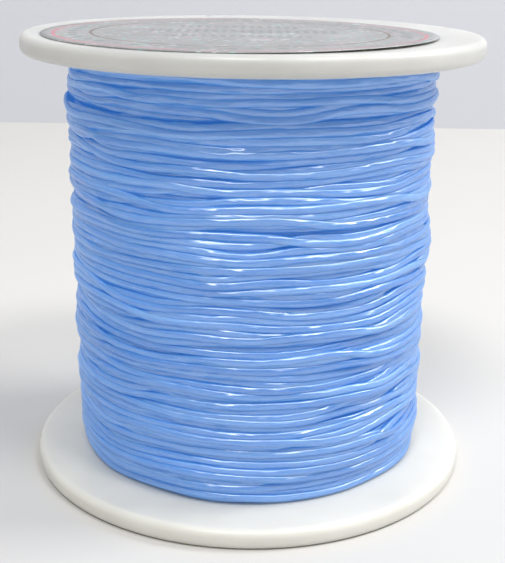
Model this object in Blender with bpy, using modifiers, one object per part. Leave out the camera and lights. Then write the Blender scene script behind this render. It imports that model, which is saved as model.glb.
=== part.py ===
"""Small moulded spool wound with coloured monofilament line, standing on one flange.

Metres, +Z up along the spool's axis, origin at the middle of the face it stands on.
-Y is the side towards the viewer; the slits that hold the line's end are on the far side.
"""

import math

import bpy
from mathutils import Vector

# Driving dimensions
FLANGE_RADIUS = 0.0230
FLANGE_THICKNESS = 0.0020
SPOOL_HEIGHT = 0.0452
RIM_ROUNDING = 0.0007
CORE_RADIUS = 0.0065
CORE_WALL = 0.0009
BORE_RADIUS = 0.0045
COLLAR_LENGTH = 0.0060
WINDING_RADIUS = 0.0186
LABEL_RADIUS = 0.0192
LABEL_THICKNESS = 0.0002
LABEL_OFFSET = Vector((-0.0013, -0.0029))
LINE_DIAMETER = 0.0008

# Details
JOINT_GAP = 0.0001
LABEL_GAP = 0.00002
BORE_CHAMFER = 0.0005
COLLAR_CHAMFER = 0.0003
FLANGE_FILLET = 0.0004
WINDING_SHOULDER = 0.0012
SLIT_WIDTH = LINE_DIAMETER + 0.0001
SLIT_DEPTH = 0.0026
SLIT_AZIMUTH = math.radians(104)
ANCHOR_HOLE_RADIUS = LINE_DIAMETER / 2 + 0.0002
ANCHOR_HOLE_HEIGHT = 0.0100

TURN_STEPS = 72
CORE_STEPS = 48
ARC_STEPS = 4

MILKY_PLASTIC = ("milky_plastic", (0.74, 0.74, 0.71), 0.38)
CORE_PLASTIC = ("core_plastic", (0.82, 0.82, 0.79), 0.42)
LINE_BLUE = ("line_blue", (0.18, 0.34, 0.68), 0.24)
LABEL_FOIL = ("label_foil", (0.40, 0.40, 0.40), 0.38)


def clear_scene():
    for old in list(bpy.data.objects):
        bpy.data.objects.remove(old, do_unlink=True)


def new_collection(name):
    collection = bpy.data.collections.new(name)
    bpy.context.scene.collection.children.link(collection)
    return collection


def material(description):
    """A Principled material from its name, colour and roughness, made once."""
    name, colour, roughness = description
    found = bpy.data.materials.get(name)
    if found:
        return found
    made = bpy.data.materials.new(name)
    made.use_nodes = True
    shader = made.node_tree.nodes["Principled BSDF"]
    shader.inputs["Base Color"].default_value = (*colour, 1.0)
    shader.inputs["Roughness"].default_value = roughness
    shader.inputs["Metallic"].default_value = 0.0
    return made


def arc(centre, radius, start_degrees, end_degrees):
    """Points of a round corner in the (radius, height) plane, both ends included."""
    points = []
    for step in range(ARC_STEPS + 1):
        angle = math.radians(start_degrees + (end_degrees - start_degrees) * step / ARC_STEPS)
        points.append((centre[0] + radius * math.cos(angle), centre[1] + radius * math.sin(angle)))
    return points


def turned(name, outline, steps, look, collection):
    """A closed ring turned about +Z from an outline that runs down its outer side."""
    mesh = bpy.data.meshes.new(name)
    vertices = [(radius, 0.0, height) for radius, height in outline]
    edges = [(i, (i + 1) % len(outline)) for i in range(len(outline))]
    mesh.from_pydata(vertices, edges, [])
    ring = bpy.data.objects.new(name, mesh)
    collection.objects.link(ring)
    screw = ring.modifiers.new("turn", "SCREW")
    screw.axis = "Z"
    screw.steps = steps
    screw.render_steps = steps
    screw.use_merge_vertices = True
    screw.merge_threshold = 0.000001
    screw.use_smooth_shade = True
    mesh.materials.append(material(look))
    return ring


def flange_outline():
    """Outline of a flange that lies on z = 0 with its collar pointing up into the core."""
    collar_radius = CORE_RADIUS - CORE_WALL - JOINT_GAP
    collar_top = FLANGE_THICKNESS + COLLAR_LENGTH
    rim = FLANGE_RADIUS - RIM_ROUNDING
    return [
        (BORE_RADIUS + COLLAR_CHAMFER, collar_top),
        (collar_radius - COLLAR_CHAMFER, collar_top),
        (collar_radius, collar_top - COLLAR_CHAMFER),
        (collar_radius, FLANGE_THICKNESS + FLANGE_FILLET),
        (collar_radius + FLANGE_FILLET, FLANGE_THICKNESS),
        *arc((rim, FLANGE_THICKNESS - RIM_ROUNDING), RIM_ROUNDING, 90, 0),
        *arc((rim, RIM_ROUNDING), RIM_ROUNDING, 0, -90),
        (BORE_RADIUS + BORE_CHAMFER, 0.0),
        (BORE_RADIUS, BORE_CHAMFER),
        (BORE_RADIUS, collar_top - COLLAR_CHAMFER),
    ]


def cutter(name, collection):
    """Takes the active object, made as a cutter, out of the part."""
    made = bpy.context.object
    made.name = name
    for owner in list(made.users_collection):
        owner.objects.unlink(made)
    collection.objects.link(made)
    made.hide_render = True
    made.display_type = "WIRE"
    return made


def cut(piece, tool):
    boolean = piece.modifiers.new("cut", "BOOLEAN")
    boolean.operation = "DIFFERENCE"
    boolean.solver = "EXACT"
    boolean.object = tool


def slit_cutter(name, base, collection):
    """A thin radial block across the rim of a flange whose lower face is at that height."""
    middle = FLANGE_RADIUS - SLIT_DEPTH / 4
    bpy.ops.mesh.primitive_cube_add(
        size=1.0,
        location=(
            middle * math.cos(SLIT_AZIMUTH),
            middle * math.sin(SLIT_AZIMUTH),
            base + FLANGE_THICKNESS / 2,
        ),
        rotation=(0.0, 0.0, SLIT_AZIMUTH),
        scale=(SLIT_DEPTH * 1.5, SLIT_WIDTH, FLANGE_THICKNESS * 2),
    )
    return cutter(name, collection)


def make_flange(name, upside_down, parts, cutters):
    """One of the two like flanges, with its line slit in the rim."""
    outline = flange_outline()
    base = 0.0
    if upside_down:
        outline = [(radius, SPOOL_HEIGHT - height) for radius, height in reversed(outline)]
        base = SPOOL_HEIGHT - FLANGE_THICKNESS
    flange = turned(name, outline, TURN_STEPS, MILKY_PLASTIC, parts)
    cut(flange, slit_cutter(name + "_slit_cutter", base, cutters))
    return flange


def make_core_tube(parts, cutters):
    """The tube between the flanges, with the small hole that anchors the line's start."""
    low = FLANGE_THICKNESS + JOINT_GAP + FLANGE_FILLET
    high = SPOOL_HEIGHT - low
    inside = CORE_RADIUS - CORE_WALL
    outline = [(CORE_RADIUS, high), (CORE_RADIUS, low), (inside, low), (inside, high)]
    tube = turned("core_tube", outline, CORE_STEPS, CORE_PLASTIC, parts)
    bpy.ops.mesh.primitive_cylinder_add(
        vertices=16,
        radius=ANCHOR_HOLE_RADIUS,
        depth=CORE_WALL * 4,
        location=(0.0, CORE_RADIUS - CORE_WALL / 2, ANCHOR_HOLE_HEIGHT),
        rotation=(math.pi / 2, 0.0, 0.0),
    )
    cut(tube, cutter("anchor_hole_cutter", cutters))
    return tube


def make_line_winding(parts):
    """Outer shape of all the line's turns, filling the space between the flanges."""
    low = FLANGE_THICKNESS + JOINT_GAP
    high = SPOOL_HEIGHT - low
    inside = CORE_RADIUS + JOINT_GAP
    neck = WINDING_RADIUS - WINDING_SHOULDER
    outline = [
        (inside, high),
        *arc((neck, high - WINDING_SHOULDER), WINDING_SHOULDER, 90, 0),
        *arc((neck, low + WINDING_SHOULDER), WINDING_SHOULDER, 0, -90),
        (inside, low),
    ]
    return turned("line_winding", outline, TURN_STEPS, LINE_BLUE, parts)


def make_top_label(parts):
    """The round foil sticker on the upper flange, a little off its middle."""
    bpy.ops.mesh.primitive_cylinder_add(
        vertices=TURN_STEPS,
        radius=LABEL_RADIUS,
        depth=LABEL_THICKNESS,
        location=(
            LABEL_OFFSET.x,
            LABEL_OFFSET.y,
            SPOOL_HEIGHT + LABEL_GAP + LABEL_THICKNESS / 2,
        ),
    )
    label = bpy.context.object
    label.name = "top_label"
    for owner in list(label.users_collection):
        owner.objects.unlink(label)
    parts.objects.link(label)
    label.data.materials.append(material(LABEL_FOIL))
    return label


def build():
    clear_scene()
    parts = new_collection("fishing_line_spool")
    cutters = new_collection("cutters")
    make_core_tube(parts, cutters)
    make_flange("lower_flange", False, parts, cutters)
    make_flange("upper_flange", True, parts, cutters)
    make_line_winding(parts)
    make_top_label(parts)


build()
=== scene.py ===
"""Looks of a small moulded spool that is wound full with blue line and carries a foil sticker.

Metres, +Z up along the spool's axis, -Y towards the viewer. The line is one tube of its whole
length, from its melted end inside the core to its cut end in the lower flange's slit. It is laid
turn by turn, each turn resting on the ones below it and slipping sideways into their grooves.
"""

import math

import bmesh
import bpy
import numpy as np
from mathutils import Matrix, Vector


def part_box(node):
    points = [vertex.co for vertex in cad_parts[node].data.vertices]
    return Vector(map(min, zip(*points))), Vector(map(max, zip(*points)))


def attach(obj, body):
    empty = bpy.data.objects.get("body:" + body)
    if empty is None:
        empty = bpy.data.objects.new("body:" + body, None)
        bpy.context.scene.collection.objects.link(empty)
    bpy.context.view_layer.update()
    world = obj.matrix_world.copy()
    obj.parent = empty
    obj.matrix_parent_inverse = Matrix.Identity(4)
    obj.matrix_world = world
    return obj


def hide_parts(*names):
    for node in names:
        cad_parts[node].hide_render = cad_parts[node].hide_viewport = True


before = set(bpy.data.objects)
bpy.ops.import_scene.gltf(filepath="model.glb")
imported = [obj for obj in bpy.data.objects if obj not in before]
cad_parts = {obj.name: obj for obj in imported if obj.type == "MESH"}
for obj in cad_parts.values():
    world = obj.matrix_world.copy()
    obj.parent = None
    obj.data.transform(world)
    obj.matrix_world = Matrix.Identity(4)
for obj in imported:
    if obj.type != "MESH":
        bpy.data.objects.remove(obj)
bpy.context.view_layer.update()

# Sizes that the CAD nodes' boxes give
WINDING_LOW, WINDING_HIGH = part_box("line_winding")
LABEL_LOW, LABEL_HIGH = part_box("top_label")
FLANGE_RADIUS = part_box("lower_flange")[1].x
SPOOL_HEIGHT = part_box("upper_flange")[1].z
CORE_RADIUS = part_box("core_tube")[1].x
WINDING_RADIUS = WINDING_HIGH.x
LABEL_CENTRE = (LABEL_LOW + LABEL_HIGH) / 2
LABEL_RADIUS = (LABEL_HIGH.x - LABEL_LOW.x) / 2

# Sizes that the boxes don't give, the same as in the CAD
FLANGE_THICKNESS = 0.0020
RIM_ROUNDING = 0.0007
CORE_WALL = 0.0009
BORE_RADIUS = 0.0045
COLLAR_LENGTH = 0.0060
JOINT_GAP = 0.0001
BORE_CHAMFER = 0.0005
COLLAR_CHAMFER = 0.0003
FLANGE_FILLET = 0.0004
LINE_DIAMETER = 0.0008
SLIT_WIDTH = 0.0009
SLIT_DEPTH = 0.0026
SLIT_AZIMUTH = math.radians(104)
ANCHOR_AZIMUTH = math.radians(90)
ANCHOR_HEIGHT = 0.0100

# The sticker's loose edge
LABEL_LIFT = 0.00018
LABEL_THICKNESS = 0.00008
LIFT_AZIMUTH = math.radians(-38)

# The sticker's print: rings as radius, half width and colour, rows as place, half length and
# half height; specks of painted sheen, the foil's glints, as shift of pattern, colour and strength
DASH_RING = 0.0162
RINGS = (
    (0.0180, 0.00015, (0.62, 0.20, 0.26)),
    (0.01445, 0.00012, (0.17, 0.10, 0.07)),
)
ROWS = (
    (0.0065, 0.0062, 0.0011),
    (0.0015, 0.0095, 0.0016),
    (-0.0040, 0.0070, 0.0008),
)
SHEEN_SPECKS = (
    (0.0, (0.30, 0.62, 0.58), 0.50),
    (0.4, (0.78, 0.46, 0.56), 0.40),
    (0.8, (0.80, 0.80, 0.82), 0.45),
    (1.2, (0.16, 0.17, 0.18), 0.45),
)

# Camera, table and lights; the camera's place is in flange radii
CAMERA_PLACE = Vector((0.0, -4.82, 2.36)) * FLANGE_RADIUS
CAMERA_TILT = math.radians(17.7)
CAMERA_PAN = math.radians(-0.13)
CAMERA_ROLL = math.radians(0.81)
CAMERA_LENS = 69.25
TABLE_EDGE = 0.213
TABLE_WIDTH = 4.0
TABLE_DEPTH = 1.5
LIGHT_DISTANCE = 0.8
LIGHTS = (
    ("key_light", 98, 44, 0.24, 0.24, 3.3),
    ("side_light", 48, 56, 0.20, 0.18, 2.2),
    ("front_light", -14, 58, 0.20, 0.18, 2.9),
)

# The line: its strands lie closer together than they are thick, and are flatter towards the axis
PRESSED = 0.0007
FLATNESS = 0.6

# How a turn is laid: points round it and past its end, turns under it that can carry it, and the
# stride at which the winding's profile is read from their points
PLACES = 96
LOOK_AHEAD = 12
MEMORY = 160
COARSE_STRIDE = 6
SLIDES = np.arange(-6, 7) * 0.00008
SLIDE_STIFFNESS = 0.15
SLIDE_BENDING = 0.4
WALL_PENALTY = 10

# How the guide travels: climb of a turn and how it varies, and how far it goes past each flange
SEED = 7
MOST_TURNS = 1100
LEAD = 0.0011
LEAD_LIMITS = (0.25, 3.5)
PACE_LIMITS = (0.3, 3)
PACE_CHANGE = 0.3
WANDER = 0.0002
DWELL = 0.0004
LEVELLING = 2500
LEVELLING_REACH = 0.0010
WALL_DIP = 0.0004
WALL_DIP_REACH = 0.0008
LAST_TURNS_HEIGHT = 0.0020
STOP_SHORT = 0.0021

# How the laid turns are pressed to a round drum, which widens a little towards its top; the sizes
# of bulges and grooves are the height and the angle that they are averaged over
DRUM_INSET = 0.0002
DRUM_WIDENING = 0.0004
DRUM_SHOULDER = 0.0003
DRUM_SHOULDER_HEIGHT = 0.0006
BULGE_SIZE = (0.0016, math.radians(16))
BULGES_KEPT = 0.12
GROOVE_SIZE = (0.0007, math.radians(6))
SUNK = 0.24
BURIED = 0.0014

# The line's ends, the inner one from the axis outwards, and the turns that keep all their points
START_AZIMUTH = ANCHOR_AZIMUTH + math.radians(12)
START_PLACES = 7
STUB_PLACES = (0.0042, 0.0046, 0.0052, 0.0058)
STUB_BEND = 0.0016
BALL_DIAMETER = 0.0013
BALL_RINGS = 9
SHOWN_DEPTH = 0.0003
HIDDEN_STRIDE = 5
TAIL = (
    (0.01829, 100.2, 0.0026),
    (0.01900, 102.7, 0.00242),
    (0.02030, 104.0, 0.00242),
    (0.02110, 104.0, 0.00220),
    (0.02169, 104.0, 0.00162),
    (0.02190, 104.0, 0.00082),
    (0.02190, 104.0, 0.00030),
)


def smooth_noise(random, count, knots):
    """A random curve of that many points, drawn as a cubic spline over evenly spaced knots."""
    heights = random.standard_normal(knots + 3)
    along = np.linspace(0, knots, count, endpoint=False)
    knot = along.astype(int)
    part = along - knot
    weights = (
        (1 - part) ** 3,
        3 * part**3 - 6 * part**2 + 4,
        -3 * part**3 + 3 * part**2 + 3 * part + 1,
        part**3,
    )
    return sum(weight * heights[knot + k] for k, weight in enumerate(weights)) / 6


def resting_radius(heights, under_heights, under_radii):
    """The radius at which a strand rests at those heights on the strands under it or the core."""
    gap = PRESSED**2 - (heights[..., None, :] - under_heights) ** 2
    tops = np.where(gap > 0, under_radii + np.sqrt(np.maximum(gap, 0)), 0)
    return np.maximum(tops.max(axis=-2, initial=0), CORE_RADIUS + LINE_DIAMETER / 2)


def slide_into_grooves(plan, low, high, start, under_heights, under_radii):
    """Heights of a turn that slips from its planned ones towards the lowest way round."""
    slides = SLIDES / PRESSED
    moved = plan + SLIDES[:, None]
    tried = np.clip(moved, low, high)
    rest = resting_radius(tried, under_heights, under_radii)
    cost = (rest + WALL_PENALTY * np.abs(tried - moved)) / PRESSED
    cost = cost + SLIDE_STIFFNESS * slides[:, None] ** 2
    change = SLIDE_BENDING * (slides[:, None] - slides) ** 2
    best = np.full(len(slides), np.inf)
    best[start] = 0
    came_from = np.zeros((len(plan), len(slides)), int)
    for place in range(len(plan)):
        total = best[:, None] + change
        came_from[place] = total.argmin(0)
        best = total.min(0) + cost[:, place]
    chosen = np.zeros(len(plan), int)
    state = int(best.argmin())
    for place in range(len(plan) - 1, -1, -1):
        chosen[place] = state
        state = came_from[place, state]
    return np.clip(plan + SLIDES[chosen], low, high), chosen


def pulled_taut(radii, before):
    """The radii of a turn that is pulled tight, so that it bridges the dips under it."""
    spread = 2 * math.cos(2 * math.pi / PLACES)
    inverse = 1 / np.concatenate([[before], radii, radii[-1:]])
    for _ in range(40):
        inverse[1:-1] = np.minimum(inverse[1:-1], (inverse[:-2] + inverse[2:]) / spread)
    return 1 / inverse[1:-1]


def smoothed(values, rounds):
    """The values, each averaged with its neighbours so many times; both ends stay."""
    for _ in range(rounds):
        values[1:-1] = values[:-2] / 4 + values[1:-1] / 2 + values[2:] / 4
    return values


def levelling(levels):
    """The outline that the layers keep, dipping at the flanges, and the weights of a blur."""
    from_wall = np.minimum(levels - levels[0], levels[-1] - levels)
    dip = -WALL_DIP * np.exp(-from_wall / WALL_DIP_REACH)
    blur = np.exp(-0.5 * (np.arange(-4, 5) * (levels[1] - levels[0]) / LEVELLING_REACH) ** 2)
    return dip, blur / blur.sum()


def lay_line(low, high, full_radius):
    """Heights and radii of the line's turns, one row a turn, wound until the spool is full.

    The guide slows down over hollows and hurries over bulges, so that the layers stay level.
    """
    random = np.random.default_rng(SEED)
    wander = WANDER * smooth_noise(random, (MOST_TURNS + 1) * PLACES, MOST_TURNS * 3 // 2)
    pace = 1 + PACE_CHANGE * smooth_noise(random, MOST_TURNS, MOST_TURNS // 3)
    pace = np.clip(pace, *PACE_LIMITS)
    columns = np.arange(PLACES + LOOK_AHEAD) % PLACES
    levels = np.linspace(low, high, 60)
    dip, blur = levelling(levels)
    heights = np.zeros((MOST_TURNS, PLACES))
    radii = np.zeros((MOST_TURNS, PLACES))
    guide, direction = ANCHOR_HEIGHT, 1
    height_before, radius_before = guide, CORE_RADIUS + LINE_DIAMETER / 2
    slide_before = len(SLIDES) // 2
    for turn in range(MOST_TURNS):
        under = slice(max(0, turn - MEMORY), turn)
        coarse = slice(None, None, COARSE_STRIDE)
        probes = np.repeat(levels[:, None], PLACES // COARSE_STRIDE, 1)
        profile = resting_radius(probes, heights[under, coarse], radii[under, coarse]).mean(1)
        if guide < low + LAST_TURNS_HEIGHT and direction < 0 and profile.mean() > full_radius:
            break
        excess = profile - dip - (profile - dip).mean()
        excess = np.convolve(np.pad(excess, 4, mode="edge"), blur, "valid")
        speed = math.exp(LEVELLING * np.interp(guide, levels, excess))
        step = LEAD * min(max(pace[turn] * speed, LEAD_LIMITS[0]), LEAD_LIMITS[1])
        plan = guide + direction * step * np.arange(PLACES + LOOK_AHEAD) / PLACES
        plan = np.where(plan > high + DWELL, 2 * (high + DWELL) - plan, plan)
        plan = np.where(plan < low - DWELL, 2 * (low - DWELL) - plan, plan)
        guide += direction * step
        if not low - DWELL <= guide <= high + DWELL:
            guide = 2 * (high + DWELL if guide > high else low - DWELL) - guide
            direction = -direction
        begin = turn * PLACES
        plan = np.clip(plan + wander[begin : begin + len(plan)], low, high)
        below = heights[under][:, columns], radii[under][:, columns]
        laid, slid = slide_into_grooves(plan, low, high, slide_before, *below)
        slide_before = slid[PLACES - 1]
        laid = smoothed(np.concatenate([[height_before], laid]), 4)
        rest = resting_radius(laid[1:], *below)
        if turn == 0:
            falling = math.pi * np.arange(START_PLACES) / (2 * START_PLACES - 1)
            rest[:START_PLACES] += LINE_DIAMETER * np.cos(falling) ** 2
            radius_before = rest[0]
        rest = pulled_taut(rest, radius_before)
        rest = smoothed(np.concatenate([[radius_before], rest]), 2)
        heights[turn], radii[turn] = laid[1 : PLACES + 1], rest[1 : PLACES + 1]
        height_before, radius_before = heights[turn, -1], radii[turn, -1]
    return heights[:turn], radii[:turn]


def outer_surface(heights, radii, levels):
    """The radius of the winding's outside at those levels, one column a place round it."""
    surface = np.zeros((len(levels), PLACES))
    for column in range(PLACES):
        gap = (PRESSED / 2) ** 2 - (levels[:, None] - heights[:, column]) ** 2
        tops = np.where(gap > 0, radii[:, column] + np.sqrt(np.maximum(gap, 0)), 0)
        surface[:, column] = np.maximum(tops.max(1), CORE_RADIUS)
    return surface


def blurred(surface, levels, across, around):
    """That surface, averaged over so much height and so much of a turn."""
    reach = len(levels)
    spacing = levels[1] - levels[0]
    offsets = np.subtract.outer(np.arange(reach), np.arange(reach)) * spacing
    up = np.exp(-0.5 * (offsets / across) ** 2)
    up /= up.sum(1, keepdims=True)
    turn = np.subtract.outer(np.arange(PLACES), np.arange(PLACES))
    turn = (turn + PLACES // 2) % PLACES - PLACES // 2
    round_ = np.exp(-0.5 * (turn * 2 * math.pi / PLACES / around) ** 2)
    round_ /= round_.sum(1, keepdims=True)
    return up @ surface @ round_.T


def evened(heights, radii, low, high):
    """The radii again, with the winding's large bulges and hollows pressed to a round drum.

    The turns near its outside are then drawn up to its surface, so that its grooves are shallow.
    """
    levels = np.linspace(low, high, 160)
    surface = outer_surface(heights, radii, levels)
    smooth = blurred(surface, levels, *BULGE_SIZE)
    from_top = high - levels
    from_bottom = levels - low
    shape = WINDING_RADIUS - DRUM_INSET + DRUM_WIDENING * from_bottom / (high - low)
    shape = shape - DRUM_SHOULDER * np.exp(-from_top / DRUM_SHOULDER_HEIGHT)
    wanted = shape[:, None] + BULGES_KEPT * (smooth - smooth.mean())
    share = (wanted - CORE_RADIUS) / (smooth - CORE_RADIUS)
    scaled = np.empty_like(radii)
    for column in range(PLACES):
        here = np.interp(heights[:, column], levels, share[:, column])
        scaled[:, column] = CORE_RADIUS + (radii[:, column] - CORE_RADIUS) * here
    surface = outer_surface(heights, scaled, levels)
    close = blurred(surface, levels, *GROOVE_SIZE) - PRESSED / 2
    for column in range(PLACES):
        depth = np.interp(heights[:, column], levels, close[:, column]) - scaled[:, column]
        near = np.exp(-((np.maximum(depth, 0) / BURIED) ** 2))
        scaled[:, column] += (1 - SUNK) * depth * near
    return np.maximum(scaled, CORE_RADIUS + LINE_DIAMETER / 2)


def spline_through(points, pieces):
    """Points of a smooth curve through those, with so many pieces between each two."""
    points = np.asarray(points)
    ends = 2 * points[[0, -1]] - points[[1, -2]]
    held = np.concatenate([ends[:1], points, ends[1:]])
    before, start, stop, after = held[:-3], held[1:-2], held[2:-1], held[3:]
    curve = []
    for part in np.linspace(0, 1, pieces, endpoint=False):
        bend = 2 * before - 5 * start + 4 * stop - after
        twist = 3 * (start - stop) + after - before
        curve.append(start + part * (stop - before + part * (bend + part * twist)) / 2)
    return np.concatenate([np.stack(curve, 1).reshape(-1, 3), points[-1:]])


def around(radius, azimuth, height):
    """The point or points at that distance from the spool's axis."""
    return np.stack([radius * np.cos(azimuth), radius * np.sin(azimuth), height], axis=-1)


def line_route(heights, radii):
    """Centre points of the line from its inner to its outer end, with their thickness."""
    turns = len(heights)
    azimuths = START_AZIMUTH + 2 * math.pi * np.arange(turns * PLACES) / PLACES
    coil = around(radii.ravel(), azimuths, heights.ravel())
    levels = np.linspace(heights.min(), heights.max(), 400)
    surface = outer_surface(heights, radii, levels)
    nearest = np.clip(np.searchsorted(levels, heights), 0, len(levels) - 1)
    outside = surface[nearest, np.arange(PLACES)]
    shown = (radii + LINE_DIAMETER / 2 > outside - SHOWN_DEPTH).any(1)
    fine = np.repeat(shown, PLACES)
    coil = coil[fine | (np.arange(len(coil)) % HIDDEN_STRIDE == 0)]
    anchor = np.array([[0.0, 0.0, ANCHOR_HEIGHT]])
    bend = np.radians([20, 45, 70])
    inner = np.stack(
        [
            STUB_BEND * (np.cos(bend) - 1),
            CORE_RADIUS - STUB_BEND / 3 + STUB_BEND * np.sin(bend),
            np.full(3, ANCHOR_HEIGHT),
        ],
        axis=1,
    )
    straight = anchor + np.outer(STUB_PLACES, (0, 1, 0))
    stub = spline_through(np.concatenate([straight, inner, coil[:1]]), 4)[:-1]
    tail = [around(radius, math.radians(azimuth), height) for radius, azimuth, height in TAIL]
    tail = spline_through(np.concatenate([coil[-1:], tail]), 6)[1:]
    route = np.concatenate([stub, coil, tail])
    thickness = np.full(len(route), LINE_DIAMETER)
    ball = np.sin(math.pi * np.sqrt(np.linspace(0, 1, BALL_RINGS)))
    thickness[:BALL_RINGS] += (BALL_DIAMETER - LINE_DIAMETER) * ball
    return route, thickness


def tube(name, route, thickness, sides):
    """A closed tube along the route, with its wide side upright where the route is near level."""
    ahead = np.gradient(route, axis=0)
    ahead /= np.linalg.norm(ahead, axis=1, keepdims=True)
    across = np.zeros_like(route)
    side = np.array([0.0, 0.0, 1.0])
    for ring, direction in enumerate(ahead):
        if abs(direction[2]) < 0.3:
            side = np.array([0.0, 0.0, 1.0])
        side = side - direction * side.dot(direction)
        side /= math.sqrt(side.dot(side))
        across[ring] = side
    third = np.cross(ahead, across) * FLATNESS
    angles = 2 * math.pi * np.arange(sides) / sides
    rings = np.cos(angles)[:, None] * across[:, None] + np.sin(angles)[:, None] * third[:, None]
    points = route[:, None] + rings * thickness[:, None, None] / 2
    corner = np.arange(sides)
    quad = np.stack([corner, (corner + 1) % sides, (corner + 1) % sides + sides, corner + sides], 1)
    quads = (quad + sides * np.arange(len(route) - 1)[:, None, None]).reshape(-1, 4)
    last = sides * (len(route) - 1)
    caps = [list(reversed(range(sides))), list(range(last, last + sides))]
    mesh = bpy.data.meshes.new(name)
    mesh.from_pydata(points.reshape(-1, 3).tolist(), [], quads.tolist() + caps)
    mesh.shade_smooth()
    made = bpy.data.objects.new(name, mesh)
    bpy.context.scene.collection.objects.link(made)
    return made


def make_line():
    """The whole length of line, wound on the core, with its outer end in the lower slit."""
    low = WINDING_LOW.z + LINE_DIAMETER / 2
    high = WINDING_HIGH.z - LINE_DIAMETER / 2
    heights, radii = lay_line(low, high, WINDING_RADIUS - STOP_SHORT)
    radii = evened(heights, radii, low, high)
    route, thickness = line_route(heights, radii)
    line = tube("line_winding_whole", route, thickness, 8)
    line.data.materials.append(line_material())
    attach(line, "root")
    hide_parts("line_winding")


def new_material(name, colour, **values):
    """A Principled material with its nodes, and the values that are the same all over."""
    material = bpy.data.materials.new(name)
    material.use_nodes = True
    tree = material.node_tree
    shader = tree.nodes["Principled BSDF"]
    shader.inputs["Base Color"].default_value = (*colour, 1.0)
    for socket, value in values.items():
        shader.inputs[socket.replace("_", " ")].default_value = value
    return material, tree, shader


def add_node(tree, kind, settings=(), **inputs):
    """A node with its settings and inputs; _0 is the first input, and a socket given is linked."""
    node = tree.nodes.new(kind)
    for setting, value in dict(settings).items():
        setattr(node, setting, value)
    for name, value in inputs.items():
        socket = node.inputs[int(name[1:])] if name[1:].isdigit() else node.inputs[name]
        if isinstance(value, bpy.types.NodeSocket):
            tree.links.new(value, socket)
        else:
            socket.default_value = value
    return node


def mottled(tree, pattern, low, high, start=0.3, stop=0.7):
    """A colour that goes from low to high as the pattern rises from start to stop."""
    ramp = add_node(tree, "ShaderNodeValToRGB", Fac=pattern)
    ends = ramp.color_ramp.elements
    ends[0].position, ends[1].position = start, stop
    ends[0].color, ends[1].color = (*low, 1.0), (*high, 1.0)
    return ramp.outputs[0]


def ranged(tree, pattern, low, high):
    """A value that goes from low to high as the pattern rises from 0.3 to 0.7."""
    return add_node(
        tree, "ShaderNodeMapRange", _0=pattern, _1=0.3, _2=0.7, _3=low, _4=high
    ).outputs[0]


def noise(tree, place, scale, detail):
    return add_node(
        tree, "ShaderNodeTexNoise", Vector=place, Scale=scale, Detail=detail
    ).outputs[0]


def stretched(tree, place, scale):
    return add_node(tree, "ShaderNodeMapping", Vector=place, Scale=scale).outputs[0]


def object_place(tree):
    return add_node(tree, "ShaderNodeTexCoord").outputs["Object"]


def line_material():
    """Clear blue line, glossy, a little lighter and darker along its length, faintly rippled.

    Its slight glow stands for the light that passes through the clear line into the grooves.
    """
    material, tree, shader = new_material(
        "line_blue_look",
        (0.20, 0.36, 0.72),
        IOR=1.8,
        Subsurface_Weight=0.8,
        Subsurface_Radius=(0.4, 0.7, 1.0),
        Subsurface_Scale=0.0015,
        Emission_Color=(0.10, 0.45, 1.0, 1.0),
        Emission_Strength=0.15,
        Specular_IOR_Level=1.0,
    )
    place = object_place(tree)
    streaks = noise(tree, stretched(tree, place, (40, 40, 1900)), 1.0, 3.0)
    colour = mottled(tree, streaks, (0.040, 0.162, 0.485), (0.147, 0.310, 0.670), start=0.32)
    tree.links.new(colour, shader.inputs["Base Color"])
    tree.links.new(ranged(tree, streaks, 0.27, 0.40), shader.inputs["Roughness"])
    ripples = noise(tree, stretched(tree, place, (210, 210, 1000)), 1.0, 2.0)
    bump = add_node(tree, "ShaderNodeBump", Height=ripples, Strength=1.0, Distance=0.0005)
    tree.links.new(bump.outputs[0], shader.inputs["Normal"])
    return material


def plastic_material(name, low, high):
    """Milky moulded polyethylene, satin, with faint clouds and a fine grain."""
    material, tree, shader = new_material(
        name,
        low,
        Subsurface_Weight=0.8,
        Subsurface_Radius=(1.0, 0.95, 0.85),
        Subsurface_Scale=0.0025,
    )
    place = object_place(tree)
    clouds = noise(tree, place, 120.0, 3.0)
    tree.links.new(mottled(tree, clouds, low, high), shader.inputs["Base Color"])
    tree.links.new(ranged(tree, clouds, 0.32, 0.44), shader.inputs["Roughness"])
    grain = noise(tree, place, 2500.0, 2.0)
    bump = add_node(tree, "ShaderNodeBump", Height=grain, Strength=0.12, Distance=0.00005)
    tree.links.new(bump.outputs[0], shader.inputs["Normal"])
    return material


def core_material():
    """Milky plastic again, matt, for the tube under the line."""
    material, tree, shader = new_material("core_plastic_look", (0.82, 0.82, 0.79))
    clouds = noise(tree, object_place(tree), 160.0, 3.0)
    colour = mottled(tree, clouds, (0.78, 0.78, 0.75), (0.85, 0.85, 0.82))
    tree.links.new(colour, shader.inputs["Base Color"])
    tree.links.new(ranged(tree, clouds, 0.42, 0.55), shader.inputs["Roughness"])
    return material


def math_node(tree, operation, first, second=0.0):
    settings = {"operation": operation}
    return add_node(tree, "ShaderNodeMath", settings, _0=first, _1=second).outputs[0]


def product(tree, first, *others):
    for other in others:
        first = math_node(tree, "MULTIPLY", first, other)
    return first


def wave_above(tree, value, times, level):
    """A mask that is 1 where the sine of so many times the value is above the level."""
    wave = math_node(tree, "SINE", product(tree, value, times))
    return math_node(tree, "GREATER_THAN", wave, level)


def band(tree, value, middle, half_width, soft):
    """A mask that is 1 where the value is within half a width of the middle, with soft edges."""
    away = math_node(tree, "ABSOLUTE", math_node(tree, "SUBTRACT", value, middle))
    mask = add_node(
        tree, "ShaderNodeMapRange", _0=away, _1=half_width, _2=half_width + soft, _3=1.0, _4=0.0
    )
    return mask.outputs[0]


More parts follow.
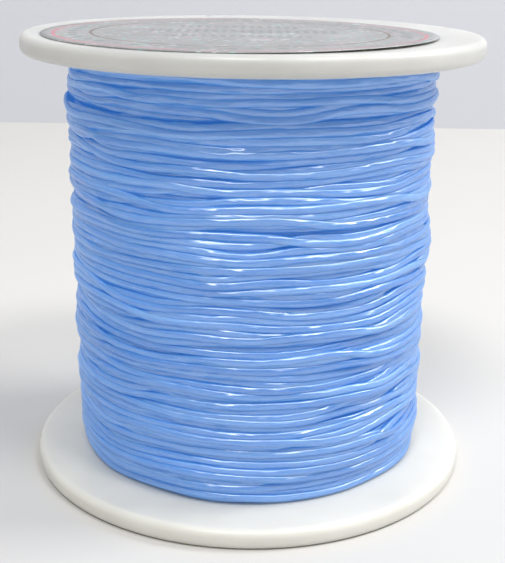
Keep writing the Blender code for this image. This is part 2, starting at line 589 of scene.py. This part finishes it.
def tinted(tree, colour, mask, tint):
    """The colour with the tint over it where the mask is 1."""
    mix = add_node(tree, "ShaderNodeMix", {"data_type": "RGBA"}, _0=mask, _6=colour, _7=(*tint, 1.0))
    return mix.outputs[2]


def foil_material():
    """Silver foil paper with painted sheen in pale and dark specks, two thin rings and print of
    plain dashes.
    """
    material, tree, shader = new_material("label_foil_look", (0.55, 0.56, 0.58), Metallic=0.35)
    split = add_node(tree, "ShaderNodeSeparateXYZ", Vector=object_place(tree))
    across, deep = split.outputs[0], split.outputs[1]
    flat = add_node(tree, "ShaderNodeCombineXYZ", X=across, Y=deep).outputs[0]
    radius = add_node(tree, "ShaderNodeVectorMath", {"operation": "LENGTH"}, _0=flat).outputs[1]
    angle = math_node(tree, "ARCTAN2", deep, across)
    clouds = noise(tree, flat, 140.0, 4.0)
    colour = mottled(tree, clouds, (0.29, 0.30, 0.295), (0.42, 0.42, 0.42))
    # Specks of painted sheen: the foil's pale, coloured and dark glints, painted into its colour
    for shift, tint, amount in SHEEN_SPECKS:
        moved = add_node(tree, "ShaderNodeMapping", Vector=flat, Location=(shift, shift, 0))
        moved = moved.outputs[0]
        sheen_cells = add_node(tree, "ShaderNodeTexVoronoi", Vector=moved, Scale=1300.0)
        sheen_dots = math_node(tree, "LESS_THAN", sheen_cells.outputs["Distance"], 0.34)
        few = math_node(tree, "GREATER_THAN", noise(tree, moved, 300.0, 1.0), 0.55)
        colour = tinted(tree, colour, product(tree, sheen_dots, few, amount), tint)
    dashes = wave_above(tree, angle, 46.0, 0.1)
    arcs = wave_above(tree, angle, 2.0, -0.6)
    ring = band(tree, radius, DASH_RING, 0.0004, 0.0001)
    colour = tinted(tree, colour, product(tree, dashes, arcs, ring, 0.7), (0.20, 0.24, 0.24))
    for middle, half_width, tint in RINGS:
        ring = band(tree, radius, middle, half_width, 0.00006)
        colour = tinted(tree, colour, product(tree, ring, 0.85), tint)
    strokes = math_node(tree, "SINE", product(tree, across, 7000.0))
    strokes = math_node(tree, "GREATER_THAN", math_node(tree, "ADD", strokes, clouds), 0.5)
    for row, half_length, half_height in ROWS:
        tall = band(tree, deep, row, half_height, 0.0001)
        wide = band(tree, across, 0.0, half_length, 0.0001)
        colour = tinted(tree, colour, product(tree, strokes, tall, wide, 0.6), (0.22, 0.24, 0.27))
    tree.links.new(colour, shader.inputs["Base Color"])
    tree.links.new(ranged(tree, clouds, 0.3, 0.48), shader.inputs["Roughness"])
    return material


def stage_material(name, low, high):
    """Plain matt paper, hardly mottled."""
    material, tree, shader = new_material(name, low, Roughness=0.75)
    clouds = noise(tree, object_place(tree), 12.0, 2.0)
    tree.links.new(mottled(tree, clouds, low, high), shader.inputs["Base Color"])
    return material


def link(made):
    bpy.context.scene.collection.objects.link(made)
    return made


def corner(middle, radius, start_degrees, end_degrees, steps=8):
    """Points of a round corner in the (radius, height) plane, both ends included."""
    angles = np.radians(np.linspace(start_degrees, end_degrees, steps + 1))
    return [(middle[0] + radius * math.cos(a), middle[1] + radius * math.sin(a)) for a in angles]


def turned(name, outline, steps):
    """A closed ring turned about +Z from an outline that runs down its outer side."""
    mesh = bpy.data.meshes.new(name)
    vertices = [(radius, 0.0, height) for radius, height in outline]
    edges = [(i, (i + 1) % len(outline)) for i in range(len(outline))]
    mesh.from_pydata(vertices, edges, [])
    ring = link(bpy.data.objects.new(name, mesh))
    screw = ring.modifiers.new("turn", "SCREW")
    screw.axis = "Z"
    screw.steps = screw.render_steps = steps
    screw.use_merge_vertices = True
    screw.merge_threshold = 0.000001
    screw.use_smooth_shade = True
    return ring


def flange_outline():
    """Outline of a flange that lies on z = 0 with its collar pointing up into the core."""
    collar_radius = CORE_RADIUS - CORE_WALL - JOINT_GAP
    collar_top = FLANGE_THICKNESS + COLLAR_LENGTH
    rim = FLANGE_RADIUS - RIM_ROUNDING
    return [
        (BORE_RADIUS + COLLAR_CHAMFER, collar_top),
        (collar_radius - COLLAR_CHAMFER, collar_top),
        (collar_radius, collar_top - COLLAR_CHAMFER),
        (collar_radius, FLANGE_THICKNESS + FLANGE_FILLET),
        (collar_radius + FLANGE_FILLET, FLANGE_THICKNESS),
        *corner((rim, FLANGE_THICKNESS - RIM_ROUNDING), RIM_ROUNDING, 90, 0),
        *corner((rim, RIM_ROUNDING), RIM_ROUNDING, 0, -90),
        (BORE_RADIUS + BORE_CHAMFER, 0.0),
        (BORE_RADIUS, BORE_CHAMFER),
        (BORE_RADIUS, collar_top - COLLAR_CHAMFER),
    ]


def make_flange(node, upside_down, material):
    """One of the two like flanges, with its line slit in the rim."""
    outline = flange_outline()
    base = 0.0
    if upside_down:
        outline = [(radius, SPOOL_HEIGHT - height) for radius, height in reversed(outline)]
        base = SPOOL_HEIGHT - FLANGE_THICKNESS
    flange = turned(node + "_moulding", outline, 256)
    middle = FLANGE_RADIUS - SLIT_DEPTH / 4
    bpy.ops.mesh.primitive_cube_add(
        size=1.0,
        location=around(middle, SLIT_AZIMUTH, base + FLANGE_THICKNESS / 2),
        rotation=(0.0, 0.0, SLIT_AZIMUTH),
        scale=(SLIT_DEPTH * 1.5, SLIT_WIDTH, FLANGE_THICKNESS * 2),
    )
    slit = bpy.context.object
    boolean = flange.modifiers.new("slit", "BOOLEAN")
    boolean.operation = "DIFFERENCE"
    boolean.solver = "EXACT"
    boolean.object = slit
    flange.data.materials.append(material)
    graph = bpy.context.evaluated_depsgraph_get()
    mesh = bpy.data.meshes.new_from_object(flange.evaluated_get(graph))
    flange.modifiers.clear()
    flange.data = mesh
    bpy.data.objects.remove(slit)
    mesh.set_sharp_from_angle(angle=math.radians(32))
    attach(flange, "root")
    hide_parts(node)


def make_label(material):
    """The thin foil sticker, a little lifted at its front right edge."""
    rings, spokes = 24, 192
    builder = bmesh.new()
    middle = builder.verts.new((0, 0, 0))
    loops = []
    for ring in range(1, rings + 1):
        radius = LABEL_RADIUS * ring / rings
        loop = []
        for spoke in range(spokes):
            angle = 2 * math.pi * spoke / spokes
            facing = max(0.0, math.cos(angle - LIFT_AZIMUTH))
            lift = LABEL_LIFT * (ring / rings) ** 8 * facing**4
            place = (radius * math.cos(angle), radius * math.sin(angle), lift)
            loop.append(builder.verts.new(place))
        loops.append(loop)
    for spoke in range(spokes):
        builder.faces.new((middle, loops[0][spoke], loops[0][(spoke + 1) % spokes]))
    for inner, outer in zip(loops, loops[1:]):
        for spoke in range(spokes):
            following = (spoke + 1) % spokes
            builder.faces.new((inner[spoke], outer[spoke], outer[following], inner[following]))
    mesh = bpy.data.meshes.new("top_label_foil")
    builder.to_mesh(mesh)
    builder.free()
    mesh.shade_smooth()
    label = link(bpy.data.objects.new("top_label_foil", mesh))
    label.location = (LABEL_CENTRE.x, LABEL_CENTRE.y, LABEL_LOW.z + LABEL_THICKNESS)
    solid = label.modifiers.new("thickness", "SOLIDIFY")
    solid.thickness = LABEL_THICKNESS
    solid.offset = -1
    mesh.materials.append(material)
    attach(label, "root")
    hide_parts("top_label")


def make_stage():
    """The pale table and the backdrop that stands at its far edge."""
    bpy.ops.mesh.primitive_plane_add(size=1.0, location=(0.0, TABLE_EDGE - TABLE_DEPTH / 2, 0.0))
    table = bpy.context.object
    table.name = "table"
    table.scale = (TABLE_WIDTH, TABLE_DEPTH, 1.0)
    paper = stage_material("table_paper", (0.60, 0.59, 0.57), (0.62, 0.61, 0.59))
    table.data.materials.append(paper)
    bpy.ops.mesh.primitive_plane_add(
        size=1.0, location=(0.0, TABLE_EDGE, 0.0), rotation=(math.radians(90), 0.0, 0.0)
    )
    backdrop = bpy.context.object
    backdrop.name = "backdrop"
    backdrop.scale = (TABLE_WIDTH, 1.0, 1.0)
    paper = stage_material("backdrop_paper", (0.62, 0.63, 0.675), (0.64, 0.65, 0.695))
    backdrop.data.materials.append(paper)


def make_camera():
    """The camera, a little above the spool and tilted down at it."""
    data = bpy.data.cameras.new("camera")
    data.lens = CAMERA_LENS
    data.sensor_width = 36.0
    data.sensor_fit = "AUTO"
    data.clip_start = 0.005
    data.clip_end = 20.0
    camera = link(bpy.data.objects.new("camera", data))
    camera.matrix_world = (
        Matrix.Translation(CAMERA_PLACE)
        @ Matrix.Rotation(CAMERA_PAN, 4, "Z")
        @ Matrix.Rotation(math.radians(90) - CAMERA_TILT, 4, "X")
        @ Matrix.Rotation(CAMERA_ROLL, 4, "Z")
    )
    bpy.context.scene.camera = camera


def soft_light(name, azimuth, elevation, width, height, power):
    """A rectangular soft light that faces the spool; azimuth 0 is the viewer's side."""
    data = bpy.data.lights.new(name, "AREA")
    data.shape = "RECTANGLE"
    data.size = width
    data.size_y = height
    data.energy = power
    light = link(bpy.data.objects.new(name, data))
    turn, rise = math.radians(azimuth), math.radians(elevation)
    level = math.cos(rise)
    away = Vector((math.sin(turn) * level, -math.cos(turn) * level, math.sin(rise)))
    light.location = Vector((0, 0, SPOOL_HEIGHT / 2)) + away * LIGHT_DISTANCE
    light.rotation_euler = (-away).to_track_quat("-Z", "Y").to_euler()


def make_lights():
    for light in LIGHTS:
        soft_light(*light)
    world = bpy.data.worlds.new("studio")
    world.use_nodes = True
    background = world.node_tree.nodes["Background"]
    background.inputs["Color"].default_value = (0.98, 0.98, 0.97, 1.0)
    background.inputs["Strength"].default_value = 0.43
    bpy.context.scene.world = world


def build():
    make_camera()
    make_line()
    lower = plastic_material("lower_plastic_look", (0.63, 0.62, 0.57), (0.69, 0.68, 0.63))
    # The upper flange is the same moulding as the lower; its plastic is painted darker, as painted
    # shade for the dimmer light that falls on it
    upper_shaded_plastic = plastic_material("upper_plastic_painted_shade_look", (0.52, 0.52, 0.505), (0.58, 0.58, 0.565))
    make_flange("lower_flange", False, lower)
    make_flange("upper_flange", True, upper_shaded_plastic)
    make_label(foil_material())
    core_slots = bpy.data.objects["core_tube"].data.materials
    core_slots.clear()
    core_slots.append(core_material())
    make_stage()
    make_lights()
    bpy.context.scene.view_settings.view_transform = "Standard"


build()
